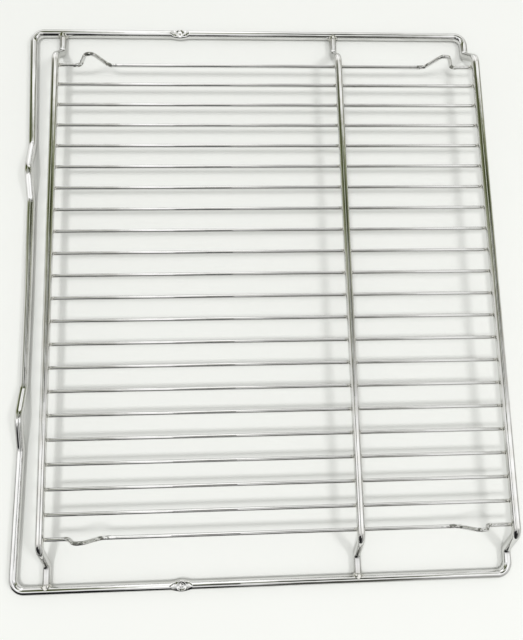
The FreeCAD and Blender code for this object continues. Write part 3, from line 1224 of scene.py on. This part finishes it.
@dataclass(frozen=True)
class Studio:
    """A pale table, soft light from above and from the right, and a camera over the rack."""

    floor: FloorFinish = FloorFinish()
    floor_half: float = 4.0
    floor_drop: float = 0.0001
    # The painted reflection that only glossy rays see.
    mirrored: PaintedReflectionRoom = PaintedReflectionRoom()
    ambient: Colour = (0.640, 0.642, 0.628)
    background: Colour = (0.750, 0.758, 0.735)
    lamps: tuple[Lamp, ...] = (
        Lamp("overhead_lamp", (-0.84, -0.60, 3.00), 0.44, 0.58, 28.0),
        Lamp("right_lamp", (1.50, -0.25, 2.00), 0.49, 0.70, 15.0),
    )
    camera_place: tuple[float, float, float] = (-0.0241, -0.0958, 0.4277)
    camera_turn: tuple[float, float, float] = (0.1411, -0.0423, -0.0223)
    clip_start: float = 0.01
    focal_px: float = 525.1
    axis_px: tuple[float, float] = (253.5, 331.7)
    body_low: tuple[float, float] = (-0.062, -0.085)
    body_high: tuple[float, float] = (0.014, -0.030)
    arm_low: tuple[float, float] = (-0.115, -0.330)
    arm_high: tuple[float, float] = (-0.015, -0.115)
    flag_low: tuple[float, float] = (-0.300, -0.750)
    flag_high: tuple[float, float] = (0.020, -0.258)
    flag_height: float = 0.0005
    # Colour of the sheets of painted dark reflection.
    dark_reflection_colour: Colour = (0.08, 0.08, 0.075)

    def build(self) -> None:
        """Sets up the floor, the light, the camera and the dark sheets of painted reflection that the
        plate mirrors.
        """
        self._lay_floor()
        self._light_world()
        for lamp in self.lamps:
            lamp.build()
        self._set_camera()
        self._paint_dark_reflections()
        bpy.context.scene.view_settings.view_transform = "Standard"

    def _sheet(
        self, name: str, low: Sequence[float], high: Sequence[float], z: float
    ) -> bpy.types.Object:
        """A flat four-sided sheet that isn't part of the rack.

        Args:
            name: The sheet's name.
            low: Its near left corner.
            high: Its far right corner.
            z: Its height.

        Returns:
            The sheet.
        """
        outline = ((low[0], low[1]), (high[0], low[1]), (high[0], high[1]), (low[0], high[1]))
        corners = [(x, y, z) for x, y in outline]
        mesh = bpy.data.meshes.new(name)
        mesh.from_pydata(corners, [], [(0, 1, 2, 3)])
        made = bpy.data.objects.new(name, mesh)
        bpy.context.scene.collection.objects.link(made)
        return made

    def _lay_floor(self) -> None:
        """The table top, just under the rack."""
        low = (-self.floor_half, -self.floor_half)
        high = (self.floor_half, self.floor_half)
        table = self._sheet("table_top", low, high, -self.floor_drop)
        table.data.materials.append(self.floor.material())

    def _light_world(self) -> None:
        """Even pale light, a background like the table, and a painted reflection of a room that only
        glossy rays see.
        """
        world = bpy.data.worlds.new("studio_room")
        world.use_nodes = True
        bpy.context.scene.world = world
        board = NodeBoard(world.node_tree)
        seen = board.add("ShaderNodeLightPath", {}, {}, "Is Camera Ray")
        through = board.add("ShaderNodeLightPath", {}, {}, "Is Transmission Ray")
        glossy = board.add("ShaderNodeLightPath", {}, {}, "Is Glossy Ray")
        # Glossy rays see the painted reflection instead of the even pale light.
        lit = board.mix(glossy, (*self.ambient, 1.0), self.mirrored.colour(board))
        colour = board.mix(seen + through, lit, (*self.background, 1.0))
        shader = board.add("ShaderNodeBackground", {}, {"Color": colour, "Strength": 1.0})
        board.add("ShaderNodeOutputWorld", {}, {"Surface": shader})

    def _set_camera(self) -> None:
        """The camera over the rack, a little to the near left of its middle."""
        camera = bpy.data.cameras.new("camera")
        camera.sensor_fit = "HORIZONTAL"
        camera.sensor_width = SENSOR_WIDTH
        camera.lens = self.focal_px / PICTURE_WIDTH * SENSOR_WIDTH
        camera.shift_x = (PICTURE_WIDTH / 2 - self.axis_px[0]) / PICTURE_WIDTH
        camera.shift_y = (self.axis_px[1] - PICTURE_HEIGHT / 2) / PICTURE_WIDTH
        camera.clip_start = self.clip_start
        made = bpy.data.objects.new("camera", camera)
        made.location = self.camera_place
        made.rotation_euler = Euler(self.camera_turn)
        bpy.context.scene.collection.objects.link(made)
        bpy.context.scene.camera = made

    def _paint_dark_reflections(self) -> None:
        """Painted dark reflections: dark glowing sheets beside the camera and on the table, which only
        the plate mirrors.
        """
        paint = bpy.data.materials.new("painted_dark_reflection_sheet")
        paint.use_nodes = True
        board = NodeBoard(paint.node_tree)
        sockets = {"Color": (*self.dark_reflection_colour, 1.0), "Strength": 1.0}
        shader = board.add("ShaderNodeEmission", {}, sockets)
        board.add("ShaderNodeOutputMaterial", {}, {"Surface": shader})
        # Painted dark reflections of the camera, the camera's arm and a dark flag; only glossy rays see
        # them.
        body = self._sheet("camera_body", self.body_low, self.body_high, self.camera_place[2])
        arm = self._sheet("camera_arm", self.arm_low, self.arm_high, self.camera_place[2])
        flag = self._sheet("near_flag", self.flag_low, self.flag_high, self.flag_height)
        for sheet in (body, arm, flag):
            sheet.data.materials.append(paint)
            sheet.visible_camera = False
            sheet.visible_diffuse = False
            sheet.visible_shadow = False
            sheet.visible_transmission = False


def main() -> None:
    """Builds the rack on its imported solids, then the studio."""
    logging.basicConfig(level=logging.INFO, format="%(name)s: %(message)s")
    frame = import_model()
    layout = RackLayout.from_frame(sorted(frame["nodes"]))
    drawn = PlatedFinish("bright_plate")
    welded = PlatedFinish("weld_plate", bright=(0.69, 0.69, 0.67), gloss=0.05)

    OuterFrame(layout, drawn).build()
    for seed, node in enumerate(layout.bar_x, start=END_WELD_SEED):
        CrossBar(layout, drawn, node).build()
        BarEndWelds(layout, welded, node, seed).build()
    for node in layout.wire_y:
        GridWire(layout, drawn, node).build()
    left_x, middle_x = layout.bar_x.values()
    beds = (
        ("left_bar_welds", left_x, layout.bar_r, layout.bar_z, Seat.STOPS_LEFT),
        ("middle_bar_welds", middle_x, layout.bar_r, layout.bar_z, Seat.PASSES),
        ("right_bar_welds", layout.end_x, layout.frame_r, layout.right_bar_z, Seat.STOPS_RIGHT),
    )
    for seed, (name, x, radius, height, seat) in enumerate(beds, start=CROSSING_WELD_SEED):
        CrossingWelds(layout, welded, name, x, radius, height, seat, seed).build()
    Studio().build()


if __name__ == "__main__":
    main()
